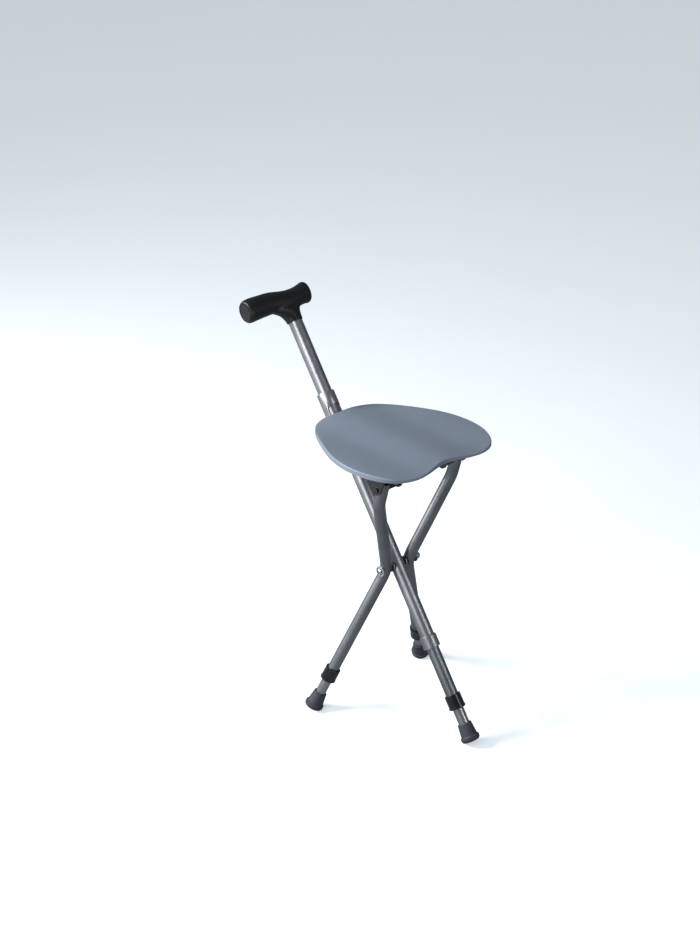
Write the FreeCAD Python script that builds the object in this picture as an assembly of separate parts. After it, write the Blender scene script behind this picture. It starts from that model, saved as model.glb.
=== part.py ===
import FreeCAD, Part
import math
import os

# Folding three-legged walking stick seat, in millimetres and degrees.
# +X points to the front foot, +Y to the left-hand leg and +Z up, with the ground at
# z = 0. The plane y = 0 is the plane of symmetry of all but the handle. Sizes along X
# are measured from the pivot bolt, and the finished part is moved so that its origin
# is the bottom centre of its bounding box.

# Stance of the open stool
SHAFT_LEAN = 35.8
LEG_LEAN = 14.4
PIVOT_HEIGHT = 280.5
SWING_LENGTH = 205.0
FOLDED_ANGLE = 15.0
FOLDED_GAP = 2.5
SEAT_TOP = 525.5

# Main shaft: upper tube and the thinner tube below it
MAIN_OD = 25.4
MAIN_WALL = 1.3
MAIN_ABOVE_PIVOT = 503.0
MAIN_BELOW_PIVOT = 147.5
LOWER_WALL = 1.1
LOWER_OVERLAP = 62.0
TUBE_FIT = 0.1
RIVET_RISE = 5.0

# Side legs, bent twice in one plane
LEG_OD = 21.0
LEG_WALL = 1.1
LEG_PIVOT_OFFSET = 28.2
LEG_TOP_OFFSET = 86.0
LEG_UPPER_SPLAY = 19.9
LEG_LOWER_SPLAY = 21.5
LEG_PIVOT_BEND = 50.0
LEG_TOP_BEND = 60.0
LEG_TOP_MARGIN = 12.0
LEG_PLUG_DEPTH = 19.0
LEG_PLUG_FLANGE = 1.6

# Telescopic feet
FOOT_WALL = 1.1
FOOT_SLIDE_CLEARANCE = 0.25
FOOT_INSERT = 92.0
FOOT_SHOW = 28.0
LOCK_LENGTH = 26.0
LOCK_WALL = 3.2
LOCK_LIP = 2.6
LOCK_RIM = 0.7
LOCK_BAND = 4.2
COLLET_LENGTH = 8.0
COLLET_SLOT = 1.2
COLLET_SLOTS = 6
COLLET_STEP = 0.7
COLLET_HOOP = 2.0
TURN_CLEARANCE = 0.3

# Rubber tips
TIP_LENGTH = 34.0
TIP_RADIUS = 17.1
TIP_ROUNDING = 5.5
TIP_WALL = 2.8
TIP_SHOULDER_HEIGHT = 9.0
TIP_SHOULDER_DROP = 2.3
TIP_FLOOR = 5.0
TIP_GROOVE = 1.2
TIP_GROOVE_RADII = (5.2, 9.2)
TIP_LIP = 1.2
TIP_WASHER = 1.5
RUBBER_FIT = 0.05

# Joint collar between the two shaft tubes
JOINT_COLLAR_OD = 30.6
JOINT_COLLAR_ABOVE = 11.0
JOINT_COLLAR_BELOW = 11.5
JOINT_COLLAR_STEP = 0.5

# Sliding collar behind the seat and its stop
SLIDE_OD = 32.0
SLIDE_CLEARANCE = 0.3
SLIDE_BELOW_HINGE = 14.0
SLIDE_LIP = 0.8
SLIDE_LIP_LENGTH = 5.0
SLIDE_BOSS_RADIUS = 8.0
SLIDE_BOSS_PROUD = 2.2
ARCH_HALF_WIDTH = 9.5
ARCH_RISE = 30.0
STOP_LENGTH = 8.0
STOP_WALL = 3.0

# Pivot bolt and what is on it
BOLT_RADIUS = 4.0
PIN_FIT = 0.08
PIVOT_DISC_RADIUS = 9.5
PIVOT_DISC = 1.5
SPACER_RADIUS = 8.5
SPACER_CROWN = 1.3
SLEEVE_WALL = 1.9
BOLT_HEAD_RADIUS = 7.0
BOLT_HEAD = 4.6
BOLT_SOCKET = 5.0
BOLT_SOCKET_DEPTH = 2.8
NUT_ACROSS = 13.0
NUT_THICKNESS = 6.6
NUT_COLLAR = 1.8
NUT_CHAMFER = 0.4
BOLT_TAIL = 2.2
FACE_GAP = 0.3

# Moulded seat
SEAT_SKIN = 3.6
SEAT_EDGE_DEPTH = 9.0
SEAT_RIM = 3.6
SEAT_DISH = 3.4
SEAT_DISH_OFFSET = 66.0
SEAT_EDGE_ROUND = 2.2
SEAT_FRONT_START = 60.0
SEAT_FRONT_DROP = 2.0
SEAT_SURFACE_SHIFT = 16.0
SEAT_SURFACE_STEPS = 8
RIB_THICKNESS = 2.4
RIB_DEPTH = 5.0
RIB_PITCH_X = 42.0
RIB_PITCH_Y = 36.0
RIB_ROWS = 3
RIB_GAP = 1.0
BOSS_RADIUS = 5.2
BOSS_DEPTH = 5.5
SEAT_REAR = -149.0
SEAT_REAR_CORNER = (-150.5, 32.0)
SEAT_REAR_SIDE = (-143.0, 62.0)
SEAT_WAIST = (-118.0, 87.5)
SEAT_FLANK = (-72.0, 113.5)
SEAT_SHOULDER = (-20.0, 135.0)
SEAT_WIDEST = (32.0, 141.0)
SEAT_LOBE_SIDE = (82.0, 129.5)
SEAT_LOBE_CORNER = (113.0, 105.0)
SEAT_LOBE_TIP = (122.0, 75.0)
SEAT_NOTCH_SIDE = (116.5, 38.0)
SEAT_NOTCH = 109.0

# Brackets below the seat
PLATE = 3.0
EAR = 4.6
INNER_EAR = 50.0
EAR_RADIUS = 9.0
BRACKET_HALF_LENGTH = 22.0
BRACKET_LEDGE = 2.0
LEG_SIDE_GAP = 0.7
EAR_SETBACK = 1.0
WEB_DEPTH = 7.5
HINGE_PIN_RADIUS = 3.0
HINGE_HEAD_RADIUS = 5.0
HINGE_HEAD = 1.8
HINGE_SPACER_RADIUS = 6.5
FORK_ARM = 4.0
FORK_EAR_RADIUS = 8.5
FORK_LENGTH = 40.0
FORK_HALF_WIDTH = 34.0
FORK_REAR_GAP = 8.0
FORK_EAR_SETBACK = 4.0
FORK_SCREW_INSET = 7.5
SCREW_RADIUS = 1.8
SCREW_HEAD_RADIUS = 3.6
SCREW_HEAD = 2.2
SCREW_CROWN = 0.9
SCREW_BITE = 4.6
SCREW_INSET = 8.5

# Handle, along Y across the top of the shaft
GRIP_LEFT_END = 48.0
GRIP_RIGHT_END = 88.0
GRIP_HALF_DEPTH = 15.5
GRIP_HALF_HEIGHT = 18.5
GRIP_AXIS = 506.5
GRIP_SAG = 2.5
NECK_RADIUS = 18.0
NECK_BOTTOM = 463.0
NECK_STRAIGHT = 9.0
NECK_TOP_DROP = 7.4
END_CAP = 4.0
END_CAP_INSET = 1.6
END_CAP_PROUD = 0.6
PLUG_LENGTH = 46.0
RIVET_RADIUS = 2.0
RIVET_HEAD_RADIUS = 3.8
RIVET_HEAD = 1.6
RIVET_TAIL = 1.5
HANDLE_SCREW_RISE = 4.5
HANDLE_SCREW_REACH = 6.0

# How far a cutting body runs past the face it cuts
OVERCUT = 1.0

V = FreeCAD.Vector
AXIS_X = V(1, 0, 0)
AXIS_Y = V(0, 1, 0)
AXIS_Z = V(0, 0, 1)
CENTRE = V(0, 0, 0)

MAIN_BORE = MAIN_OD / 2 - MAIN_WALL
LOWER_OD = MAIN_OD - 2 * MAIN_WALL - 2 * TUBE_FIT
LOWER_BORE = LOWER_OD / 2 - LOWER_WALL
FRONT_FOOT_OD = LOWER_OD - 2 * LOWER_WALL - 2 * FOOT_SLIDE_CLEARANCE
SIDE_FOOT_OD = LEG_OD - 2 * LEG_WALL - 2 * FOOT_SLIDE_CLEARANCE


def sin(angle):
    return math.sin(math.radians(angle))


def cos(angle):
    return math.cos(math.radians(angle))


# Frames: the shaft and the leg plane both turn about the pivot bolt.
PIVOT = V(0, 0, PIVOT_HEIGHT)
SHAFT = FreeCAD.Placement(PIVOT, FreeCAD.Rotation(AXIS_Y, -SHAFT_LEAN))
LEG_PLANE = FreeCAD.Placement(PIVOT, FreeCAD.Rotation(AXIS_Y, LEG_LEAN))

# The leg's bend at the pivot is an arc whose innermost point is level with the bolt.
CORNER_OFFSET = LEG_PIVOT_OFFSET + LEG_PIVOT_BEND - LEG_PIVOT_BEND / cos(LEG_LOWER_SPLAY)
LOWER_LEG = LEG_PLANE.multiply(
    FreeCAD.Placement(V(0, CORNER_OFFSET, 0), FreeCAD.Rotation(AXIS_X, LEG_LOWER_SPLAY)))

# Hinges of the seat. The leg and the seat are equal sides of a triangle on the shaft,
# so the rear hinge stays on the shaft's axis as the stool folds.
OPEN_ANGLE = SHAFT_LEAN + LEG_LEAN
REAR_HINGE_ALONG = 2 * SWING_LENGTH * cos(OPEN_ANGLE)
FRONT_HINGE = LEG_PLANE.multVec(V(0, 0, SWING_LENGTH))
REAR_HINGE = SHAFT.multVec(V(0, 0, REAR_HINGE_ALONG))

# The seat's underside, and the level where the brackets meet its bosses
TROUGH = SEAT_TOP - SEAT_DISH
SEAT_UNDER = TROUGH - SEAT_SKIN
PLATE_TOP = SEAT_UNDER - BOSS_DEPTH
PLATE_UNDER = PLATE_TOP - PLATE

# Places along the shaft, measured from the pivot bolt
SLIDE_ABOVE_HINGE = NECK_BOTTOM - FOLDED_GAP - 2 * SWING_LENGTH * cos(FOLDED_ANGLE)
SLIDE_TOP = REAR_HINGE_ALONG + SLIDE_ABOVE_HINGE
SLIDE_BOTTOM = REAR_HINGE_ALONG - SLIDE_BELOW_HINGE
STOP_TOP = SLIDE_BOTTOM - FACE_GAP
STOP_RIVET = STOP_TOP - STOP_LENGTH / 2
JOINT_RIVET = RIVET_RISE - MAIN_BELOW_PIVOT
HANDLE_SCREW = NECK_BOTTOM + HANDLE_SCREW_RISE

# Faces across the part, measured from the plane of symmetry. The outer discs bridge the
# hollow side of the leg's bend.
SHAFT_SPACER_FACE = MAIN_OD / 2 + SPACER_CROWN
INNER_DISC_FACE = SHAFT_SPACER_FACE + PIVOT_DISC
HOLLOW_RADIUS = LEG_PIVOT_BEND - LEG_OD / 2
HOLLOW_DEPTH = HOLLOW_RADIUS - math.sqrt(HOLLOW_RADIUS ** 2 - PIVOT_DISC_RADIUS ** 2)
OUTER_DISC_FACE = LEG_PIVOT_OFFSET + LEG_OD / 2 + HOLLOW_DEPTH + FACE_GAP
BOLT_SEAT = OUTER_DISC_FACE + PIVOT_DISC
FORK_ARM_INNER = SLIDE_OD / 2 + SLIDE_BOSS_PROUD + FACE_GAP
OUTER_EAR = LEG_TOP_OFFSET + LEG_OD / 2 + LEG_SIDE_GAP

# Ends of the brackets and of the rear fork
BRACKET_REAR = FRONT_HINGE.x - BRACKET_HALF_LENGTH
BRACKET_FRONT = FRONT_HINGE.x + BRACKET_HALF_LENGTH
BRACKET_INNER = INNER_EAR - BRACKET_LEDGE
BRACKET_OUTER = OUTER_EAR + EAR + BRACKET_LEDGE
FORK_REAR = SEAT_REAR + FORK_REAR_GAP
FORK_FRONT = FORK_REAR + FORK_LENGTH


def sole_distance(cos_tilt):
    """Distance along a foot's axis from the pivot's level to a sole whose edge meets the ground."""
    sin_tilt = math.sqrt(1 - cos_tilt * cos_tilt)
    flat = TIP_RADIUS - TIP_ROUNDING
    sole_height = flat * sin_tilt + TIP_ROUNDING * (1 - cos_tilt)
    return (PIVOT_HEIGHT - sole_height) / cos_tilt


FRONT_SOLE = sole_distance(cos(SHAFT_LEAN))
SIDE_SOLE = sole_distance(cos(LEG_LEAN) * cos(LEG_LOWER_SPLAY))
ABOVE_SOLE = TIP_LENGTH + FOOT_SHOW + LOCK_LIP + COLLET_LENGTH
FRONT_TUBE_END = FRONT_SOLE - ABOVE_SOLE
SIDE_TUBE_END = SIDE_SOLE - ABOVE_SOLE


def placed(shape, frame):
    moved = shape.copy()
    moved.Placement = frame.multiply(moved.Placement)
    return moved


def shifted(shape, step):
    return placed(shape, FreeCAD.Placement(step, FreeCAD.Rotation()))


def mirrored(shape):
    return shape.mirror(CENTRE, AXIS_Y)


def rod(radius, start, end, axis=AXIS_Z, centre=CENTRE):
    """Cylinder about axis through centre, from start to end along it."""
    return Part.makeCylinder(radius, end - start, centre + axis * start, axis)


def ring(outer, inner, start, end, axis=AXIS_Z, centre=CENTRE):
    return rod(outer, start, end, axis, centre).cut(rod(inner, start - OVERCUT, end + OVERCUT, axis, centre))


def box(x0, x1, y0, y1, z0, z1):
    return Part.makeBox(x1 - x0, y1 - y0, z1 - z0, V(x0, y0, z0))


def revolved(points):
    """Solid of revolution about Z from (radius, height) points."""
    wire = Part.makePolygon([V(r, 0, z) for r, z in points + points[:1]])
    return Part.Face(wire).revolve(CENTRE, AXIS_Z, 360)


def main_tube():
    tube = ring(MAIN_OD / 2, MAIN_BORE, -MAIN_BELOW_PIVOT, MAIN_ABOVE_PIVOT)
    tube = tube.cut(rod(BOLT_RADIUS + PIN_FIT, -MAIN_OD, MAIN_OD, AXIS_Y))
    for height in (JOINT_RIVET, STOP_RIVET, HANDLE_SCREW):
        tube = tube.cut(rivet_hole(height))
    return placed(tube, SHAFT)


def rivet_hole(height):
    return rod(RIVET_RADIUS + PIN_FIT, -MAIN_OD, 0, AXIS_X, V(0, 0, height))


def rivet(height, surface, tail):
    """Domed rivet in the rear of the shaft, from a surface radius in to a tail radius."""
    shank = rod(RIVET_RADIUS, -surface, -tail, AXIS_X, V(0, 0, height))
    dome_radius = (RIVET_HEAD_RADIUS ** 2 + RIVET_HEAD ** 2) / (2 * RIVET_HEAD)
    dome = Part.makeSphere(dome_radius, V(dome_radius - RIVET_HEAD - surface, 0, height))
    head = dome.common(rod(RIVET_HEAD_RADIUS, -surface - RIVET_HEAD, -surface, AXIS_X, V(0, 0, height)))
    return placed(shank.fuse(head).removeSplitter(), SHAFT)


def lower_tube():
    top = LOWER_OVERLAP - MAIN_BELOW_PIVOT
    tube = ring(LOWER_OD / 2, LOWER_BORE, -FRONT_TUBE_END, top)
    return placed(tube.cut(rivet_hole(JOINT_RIVET)), SHAFT)


def joint_collar():
    top = JOINT_COLLAR_ABOVE - MAIN_BELOW_PIVOT
    bottom = -MAIN_BELOW_PIVOT - JOINT_COLLAR_BELOW
    outer = JOINT_COLLAR_OD / 2
    wide = MAIN_OD / 2 + TUBE_FIT
    narrow = LOWER_OD / 2 + TUBE_FIT
    step = JOINT_COLLAR_STEP
    collar = revolved([
        (narrow, bottom), (outer - step, bottom), (outer, bottom + step),
        (outer, top - 2 * step), (outer - 2 * step, top), (wide, top),
        (wide, -MAIN_BELOW_PIVOT - TUBE_FIT), (narrow, -MAIN_BELOW_PIVOT - TUBE_FIT)])
    return placed(collar.cut(rivet_hole(JOINT_RIVET)), SHAFT)


def stop_ring():
    collar = ring(MAIN_OD / 2 + STOP_WALL, MAIN_OD / 2 + TUBE_FIT, STOP_TOP - STOP_LENGTH, STOP_TOP)
    return placed(collar.cut(rivet_hole(STOP_RIVET)), SHAFT)


def slide_collar():
    outer = SLIDE_OD / 2
    lip = outer + SLIDE_LIP
    hinge = V(0, 0, REAR_HINGE_ALONG)
    collar = revolved([
        (0, SLIDE_BOTTOM), (outer, SLIDE_BOTTOM), (outer, SLIDE_TOP - SLIDE_LIP_LENGTH),
        (lip, SLIDE_TOP - SLIDE_LIP_LENGTH + SLIDE_LIP), (lip, SLIDE_TOP - SLIDE_LIP),
        (outer, SLIDE_TOP), (0, SLIDE_TOP)])
    boss = outer + SLIDE_BOSS_PROUD
    collar = collar.fuse(rod(SLIDE_BOSS_RADIUS, -boss, boss, AXIS_Y, hinge))
    collar = collar.cut(rod(MAIN_OD / 2 + SLIDE_CLEARANCE, SLIDE_BOTTOM - OVERCUT, SLIDE_TOP + OVERCUT))
    collar = collar.cut(arch())
    collar = collar.cut(rod(HINGE_PIN_RADIUS + PIN_FIT, -2 * outer, 2 * outer, AXIS_Y, hinge))
    return placed(collar, SHAFT)


def arch():
    """Round-topped opening in the front of the sliding collar."""
    spring = REAR_HINGE_ALONG + ARCH_RISE
    legs = box(0, SLIDE_OD, -ARCH_HALF_WIDTH, ARCH_HALF_WIDTH, SLIDE_BOTTOM - OVERCUT, spring)
    return legs.fuse(rod(ARCH_HALF_WIDTH, 0, SLIDE_OD, AXIS_X, V(0, 0, spring)))


def slide_pins():
    """Two stub pins with flat heads, one through each fork arm into the sliding collar."""
    inner = MAIN_OD / 2 + SLIDE_CLEARANCE + FACE_GAP
    outer = FORK_ARM_INNER + FORK_ARM + FACE_GAP
    pin = rod(HINGE_PIN_RADIUS, inner, outer, AXIS_Y, REAR_HINGE)
    head = rod(HINGE_HEAD_RADIUS, outer, outer + HINGE_HEAD, AXIS_Y, REAR_HINGE)
    one = pin.fuse(head).removeSplitter()
    return Part.makeCompound([one, mirrored(one)])


def leg_wire():
    """Centre line of the left-hand leg in the leg plane, from its lower end to its top."""
    low, up = LEG_LOWER_SPLAY, LEG_UPPER_SPLAY
    centre = V(0, LEG_PIVOT_OFFSET + LEG_PIVOT_BEND, 0)
    end = V(0, CORNER_OFFSET + SIDE_TUBE_END * sin(low), -SIDE_TUBE_END * cos(low))
    bend_low = centre + V(0, -cos(low), -sin(low)) * LEG_PIVOT_BEND
    bend_mid = centre + V(0, -1, 0) * LEG_PIVOT_BEND
    bend_up = centre + V(0, -cos(up), sin(up)) * LEG_PIVOT_BEND
    run = (LEG_TOP_OFFSET - LEG_TOP_BEND * (1 - cos(up)) - bend_up.y) / sin(up)
    turn_start = bend_up + V(0, sin(up), cos(up)) * run
    turn = V(0, LEG_TOP_OFFSET - LEG_TOP_BEND, turn_start.z + LEG_TOP_BEND * sin(up))
    turn_mid = turn + V(0, cos(up / 2), -sin(up / 2)) * LEG_TOP_BEND
    turn_end = turn + V(0, LEG_TOP_BEND, 0)
    top = V(0, LEG_TOP_OFFSET, SWING_LENGTH + LEG_TOP_MARGIN)
    return Part.Wire([
        Part.LineSegment(end, bend_low).toShape(),
        Part.Arc(bend_low, bend_mid, bend_up).toShape(),
        Part.LineSegment(bend_up, turn_start).toShape(),
        Part.Arc(turn_start, turn_mid, turn_end).toShape(),
        Part.LineSegment(turn_end, top).toShape()])


def leg_pipe(radius):
    wire = leg_wire()
    start = wire.Vertexes[0].Point
    along = V(0, -sin(LEG_LOWER_SPLAY), cos(LEG_LOWER_SPLAY))
    circle = Part.Wire(Part.makeCircle(radius, start, along))
    return wire.makePipeShell([circle], True, False)


def left_leg_tube():
    tube = leg_pipe(LEG_OD / 2).cut(leg_pipe(LEG_OD / 2 - LEG_WALL))
    tube = tube.cut(rod(BOLT_RADIUS + PIN_FIT, 0, LEG_TOP_OFFSET, AXIS_Y))
    hinge = V(0, 0, SWING_LENGTH)
    tube = tube.cut(rod(HINGE_PIN_RADIUS + PIN_FIT, 0, 2 * LEG_TOP_OFFSET, AXIS_Y, hinge))
    return placed(tube, LEG_PLANE)


def left_leg_plug():
    """Domed nylon plug that closes the leg's top end and carries the hinge pin."""
    shank = LEG_OD / 2 - LEG_WALL - TUBE_FIT
    start = SWING_LENGTH - LEG_PLUG_DEPTH
    end = SWING_LENGTH + LEG_TOP_MARGIN
    flange = LEG_PLUG_FLANGE
    plug = revolved([
        (0, start), (shank, start), (shank, end), (LEG_OD / 2, end), (LEG_OD / 2, end + flange / 2),
        (LEG_OD / 2 - flange, end + flange), (0, end + flange)])
    plug.translate(V(0, LEG_TOP_OFFSET, 0))
    hinge = V(0, 0, SWING_LENGTH)
    plug = plug.cut(rod(HINGE_PIN_RADIUS + PIN_FIT, 0, 2 * LEG_TOP_OFFSET, AXIS_Y, hinge))
    return placed(plug, LEG_PLANE)


def left_leg_saddle():
    """Ring with one hollowed face that fits the round leg tube at the pivot."""
    saddle = ring(SPACER_RADIUS, BOLT_RADIUS + PIN_FIT, INNER_DISC_FACE + FACE_GAP, LEG_PIVOT_OFFSET, AXIS_Y)
    return placed(saddle.cut(leg_pipe(LEG_OD / 2 + RUBBER_FIT)), LEG_PLANE)


def pivot_spacers():
    """Black rings, hollowed to sit on the shaft's round side."""
    one = ring(SPACER_RADIUS, BOLT_RADIUS + PIN_FIT, 0, SHAFT_SPACER_FACE, AXIS_Y)
    one = one.cut(rod(MAIN_OD / 2 + RUBBER_FIT, -MAIN_OD, MAIN_OD))
    return placed(Part.makeCompound([one, mirrored(one)]), SHAFT)


def pivot_discs(face):
    one = ring(PIVOT_DISC_RADIUS, BOLT_RADIUS + PIN_FIT, face, face + PIVOT_DISC, AXIS_Y)
    return placed(Part.makeCompound([one, mirrored(one)]), SHAFT)


def pivot_sleeve():
    """Tube round the bolt inside the shaft, so that tightening doesn't crush the shaft."""
    outer = BOLT_RADIUS + PIN_FIT + SLEEVE_WALL
    half = math.sqrt(MAIN_BORE ** 2 - outer ** 2) - TUBE_FIT
    return placed(ring(outer, BOLT_RADIUS + PIN_FIT, -half, half, AXIS_Y), SHAFT)


def pivot_bolt():
    tail = BOLT_SEAT + NUT_THICKNESS + NUT_COLLAR + BOLT_TAIL
    shank = rod(BOLT_RADIUS, -BOLT_SEAT, tail, AXIS_Y)
    dome_radius = (BOLT_HEAD_RADIUS ** 2 + BOLT_HEAD ** 2) / (2 * BOLT_HEAD)
    dome = Part.makeSphere(dome_radius, V(0, dome_radius - BOLT_HEAD - BOLT_SEAT, 0))
    head = dome.common(rod(BOLT_HEAD_RADIUS, -BOLT_SEAT - BOLT_HEAD, -BOLT_SEAT, AXIS_Y))
    socket = hexagon(BOLT_SOCKET, -BOLT_SEAT - BOLT_HEAD, BOLT_SOCKET_DEPTH)
    return placed(shank.fuse(head).removeSplitter().cut(socket), SHAFT)


def hexagon(across, start, length):
    """Six-sided prism along Y."""
    corner = across / math.sqrt(3)
    points = [V(corner * cos(60 * i), start, corner * sin(60 * i)) for i in range(7)]
    return Part.Face(Part.makePolygon(points)).extrude(AXIS_Y * length)


def pivot_nut():
    nut = hexagon(NUT_ACROSS, BOLT_SEAT, NUT_THICKNESS)
    apex = V(0, BOLT_SEAT - NUT_CHAMFER, 0)
    nut = nut.common(Part.makeCone(NUT_ACROSS / 2, NUT_ACROSS, NUT_ACROSS, apex, AXIS_Y))
    collar_end = BOLT_SEAT + NUT_THICKNESS + NUT_COLLAR
    nut = nut.fuse(rod(NUT_ACROSS / 2 - NUT_CHAMFER, BOLT_SEAT + NUT_THICKNESS, collar_end, AXIS_Y))
    nut = nut.cut(rod(BOLT_RADIUS + PIN_FIT / 2, 0, collar_end + OVERCUT, AXIS_Y))
    return placed(nut, SHAFT)


def lock_collar(tube_od, foot_od, sole):
    """Twist collar: a cup round the tube's end with a cone inside that grips the collet."""
    bottom = -(sole - TIP_LENGTH - FOOT_SHOW)
    top = bottom + LOCK_LENGTH
    bore = tube_od / 2 + TURN_CLEARANCE
    lip = foot_od / 2 + TURN_CLEARANCE
    outer = tube_od / 2 + LOCK_WALL
    rim = outer + LOCK_RIM
    cone = bottom + LOCK_LIP + COLLET_LENGTH
    return revolved([
        (lip, bottom), (outer - LOCK_RIM, bottom), (rim, bottom + 2 * LOCK_RIM),
        (rim, bottom + LOCK_BAND), (outer, bottom + LOCK_BAND + LOCK_RIM),
        (outer, top - LOCK_RIM), (outer - LOCK_RIM, top), (bore + LOCK_RIM, top),
        (bore, top - LOCK_RIM), (bore, cone), (lip + COLLET_STEP, bottom + LOCK_LIP),
        (lip, bottom + LOCK_LIP)])


def collet(tube_od, foot_od, tube_end):
    """Slotted nylon ring between the tube's end and the twist collar's cone."""
    bore = foot_od / 2 + TUBE_FIT
    low = -tube_end - COLLET_LENGTH + FACE_GAP
    shape = revolved([
        (bore, low), (bore + COLLET_STEP, low), (tube_od / 2, -tube_end - TURN_CLEARANCE),
        (tube_od / 2, -tube_end), (bore, -tube_end)])
    half = COLLET_SLOT / 2
    for index in range(COLLET_SLOTS // 2):
        slot = box(-tube_od, tube_od, -half, half, low - OVERCUT, -tube_end - COLLET_HOOP)
        slot.rotate(CENTRE, AXIS_Z, 360 * index / COLLET_SLOTS)
        shape = shape.cut(slot)
    return shape


def foot_tube(foot_od, tube_end, sole):
    bottom = -sole + TIP_FLOOR + TIP_WASHER
    return ring(foot_od / 2, foot_od / 2 - FOOT_WALL, bottom, -tube_end + FOOT_INSERT)


def tip_washer(foot_od, sole):
    return rod(foot_od / 2, TIP_FLOOR - sole, TIP_FLOOR + TIP_WASHER - sole)


def tip(foot_od, sole):
    """Rubber ferrule: a flared foot with a shoulder, narrowing to a sleeve on the foot tube."""
    bore = foot_od / 2 + RUBBER_FIT
    rim = foot_od / 2 + TIP_WALL
    flat = TIP_RADIUS - TIP_ROUNDING
    middle = V(flat + TIP_ROUNDING * sin(45), 0, TIP_ROUNDING * (1 - cos(45)))
    side = [V(r, 0, z) for r, z in [
        (TIP_RADIUS, TIP_ROUNDING), (TIP_RADIUS, TIP_SHOULDER_HEIGHT),
        (TIP_RADIUS - TIP_SHOULDER_DROP, TIP_SHOULDER_HEIGHT + TIP_SHOULDER_DROP),
        (rim, TIP_LENGTH - TIP_LIP), (rim - TIP_LIP, TIP_LENGTH), (bore, TIP_LENGTH),
        (bore, TIP_FLOOR), (0, TIP_FLOOR), (0, 0), (flat, 0)]]
    curve = Part.makePolygon(side).Edges + [Part.Arc(side[-1], middle, side[0]).toShape()]
    shape = Part.Face(Part.Wire(curve)).revolve(CENTRE, AXIS_Z, 360)
    for radius in TIP_GROOVE_RADII:
        shape = shape.cut(ring(radius + TIP_GROOVE, radius, -OVERCUT, TIP_GROOVE))
    shape.translate(V(0, 0, -sole))
    return shape


def front_foot():
    sizes = {
        "front_lock_collar": lock_collar(LOWER_OD, FRONT_FOOT_OD, FRONT_SOLE),
        "front_collet": collet(LOWER_OD, FRONT_FOOT_OD, FRONT_TUBE_END),
        "front_foot_tube": foot_tube(FRONT_FOOT_OD, FRONT_TUBE_END, FRONT_SOLE),
        "front_tip_washer": tip_washer(FRONT_FOOT_OD, FRONT_SOLE),
        "front_rubber_tip": tip(FRONT_FOOT_OD, FRONT_SOLE)}
    return {name: placed(shape, SHAFT) for name, shape in sizes.items()}


def left_foot():
    sizes = {
        "lock_collar": lock_collar(LEG_OD, SIDE_FOOT_OD, SIDE_SOLE),
        "collet": collet(LEG_OD, SIDE_FOOT_OD, SIDE_TUBE_END),
        "foot_tube": foot_tube(SIDE_FOOT_OD, SIDE_TUBE_END, SIDE_SOLE),
        "tip_washer": tip_washer(SIDE_FOOT_OD, SIDE_SOLE),
        "rubber_tip": tip(SIDE_FOOT_OD, SIDE_SOLE)}
    return {name: placed(shape, LOWER_LEG) for name, shape in sizes.items()}


def seat_curve(points):
    curve = Part.BSplineCurve()
    curve.interpolate(points, PeriodicFlag=True)
    return curve


def seat_outline(inset=0.0):
    """Closed smooth outline of the seat: narrow rear, two front lobes and a notch between."""
    half = [
        SEAT_REAR_CORNER, SEAT_REAR_SIDE, SEAT_WAIST, SEAT_FLANK, SEAT_SHOULDER, SEAT_WIDEST,
        SEAT_LOBE_SIDE, SEAT_LOBE_CORNER, SEAT_LOBE_TIP, SEAT_NOTCH_SIDE]
    left = [V(x, y, 0) for x, y in half]
    right = [V(x, -y, 0) for x, y in reversed(half)]
    points = [V(SEAT_REAR, 0, 0)] + left + [V(SEAT_NOTCH, 0, 0)] + right
    curve = seat_curve(points)
    if inset:
        tangents = [curve.tangent(curve.parameter(point))[0] for point in points]
        points = [point + V(t.y, -t.x, 0) * inset for point, t in zip(points, tangents)]
        curve = seat_curve(points)
    return Part.Wire(curve.toShape())


def prism(wire, low, high):
    face = Part.Face(wire)
    face.translate(V(0, 0, low))
    return face.extrude(V(0, 0, high - low))


def seat_surface(x, y):
    """Height of the sitting surface: two shallow troughs, a crest between and a lowered front."""
    wave = 0.5 * (1 + math.cos(math.pi * y / SEAT_DISH_OFFSET))
    front = max(0.0, (x - SEAT_FRONT_START) / (SEAT_LOBE_TIP[0] - SEAT_FRONT_START))
    return TROUGH + SEAT_DISH * wave - SEAT_FRONT_DROP * front ** 2


def surface_cutter():
    """Solid above the sitting surface, which trims the seat's top."""
    reach = SEAT_WIDEST[1] + 2 * SEAT_RIM
    count = SEAT_SURFACE_STEPS
    steps = [reach * index / count for index in range(-count, count + 1)]
    grid = [[V(x - SEAT_SURFACE_SHIFT, y, seat_surface(x, y)) for y in steps] for x in steps]
    surface = Part.BSplineSurface()
    surface.interpolate(grid)
    return surface.toShape().extrude(AXIS_Z * 4 * SEAT_EDGE_DEPTH)


def screw_spots():
    """Where the screws of both brackets go up into the seat's bosses."""
    spots = []
    for x in (BRACKET_REAR + SCREW_INSET, BRACKET_FRONT - SCREW_INSET):
        for y in (INNER_EAR + EAR + SCREW_INSET, OUTER_EAR - SCREW_INSET):
            spots += [(x, y), (x, -y)]
    return spots


def fork_spots():
    """Where the rear fork's screws go up into the seat."""
    wide = FORK_HALF_WIDTH - FORK_SCREW_INSET
    return [(x, y) for x in (FORK_REAR + SCREW_INSET, FORK_FRONT - SCREW_INSET) for y in (-wide, wide)]


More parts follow.
